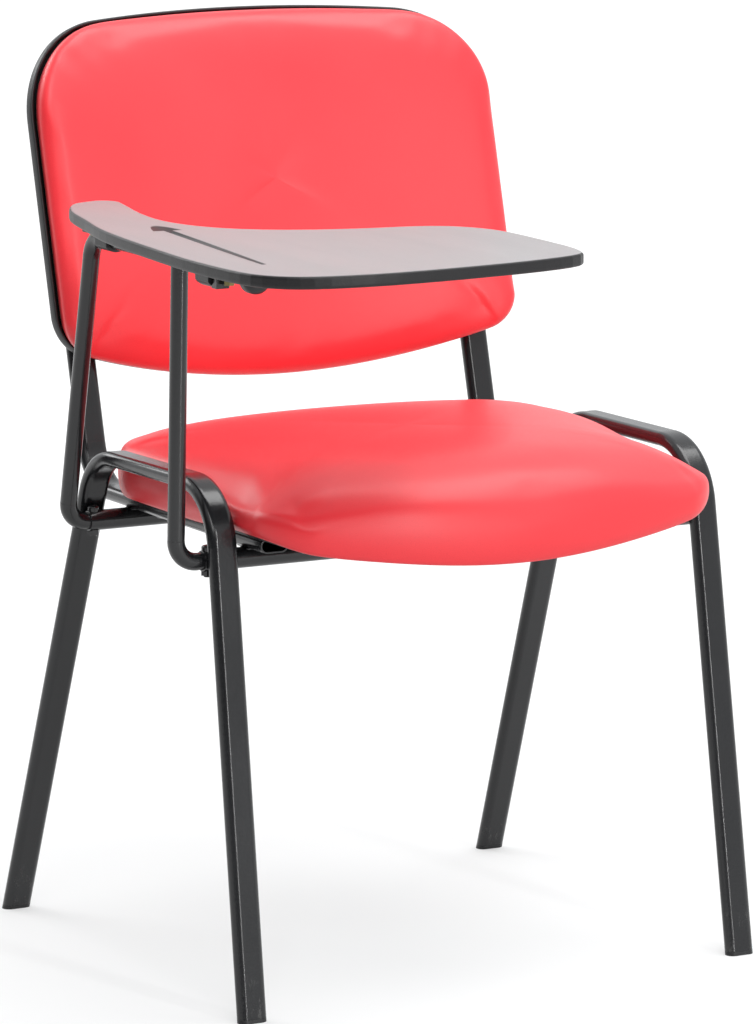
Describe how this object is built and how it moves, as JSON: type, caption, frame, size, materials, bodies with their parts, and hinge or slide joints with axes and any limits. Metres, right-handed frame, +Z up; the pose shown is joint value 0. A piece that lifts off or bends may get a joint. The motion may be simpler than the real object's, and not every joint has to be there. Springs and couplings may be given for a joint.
{
  "type": "tablet arm chair",
  "caption": "Stacking conference chair with padded seat and back, a bent tube frame and a writing tablet that tilts up on a side arm.",
  "frame": {"origin": "on the floor, on the chair's middle plane, midway between the front feet and the rear feet", "axes": "+Z up, -Y towards the front of the chair, +X towards the sitter's left; the tablet arm is on the -X side, at the sitter's right"},
  "size_m": [0.6083, 0.7512, 0.8151],
  "materials": {
    "black_paint": "satin black powder coat",
    "black_plastic": "fine-grained matte moulding",
    "tablet_plastic": "pebbled, slightly glossy",
    "plywood": "raw moulded plywood",
    "red_vinyl": "smooth coated fabric, semi-gloss",
    "steel": "zinc plated",
    "yellow_zinc": "yellow zinc plated"
  },
  "bodies": {
    "chair": {"leg_frame_right": "black_paint", "leg_frame_left": "black_paint", "foot_caps": "black_plastic", "front_cross_rail": "black_paint", "rear_cross_rail": "black_paint", "rail_plugs": "black_plastic", "seat_tube_right": "black_paint", "seat_tube_left": "black_paint", "seat_base_cover": "black_plastic", "seat_board": "plywood", "seat_t_nuts": "steel", "seat_bolts": "black_paint", "seat_cushion": "red_vinyl", "back_shell": "black_plastic", "back_board": "plywood", "back_t_nuts": "steel", "back_bolts": "black_paint", "back_cushion": "red_vinyl", "arm_rear_tube": "black_paint", "arm_front_upright": "black_paint", "arm_bolts": "black_paint", "arm_nuts": "black_paint", "stop_collar": "black_paint", "stop_screw": "yellow_zinc"},
    "tablet": {"tablet_board": "tablet_plastic", "rear_pivot_saddle": "black_plastic", "front_pivot_block": "black_plastic", "tablet_screws": "yellow_zinc", "arm_end_cap": "black_plastic"}
  },
  "joints": [
    {"name": "tablet_hinge", "type": "hinge", "parent": "chair", "child": "tablet", "pos_m": [-0.26944, -0.12, 0.6465], "axis": [0, -1, 0], "range_deg": [0, 88]}
  ]
}
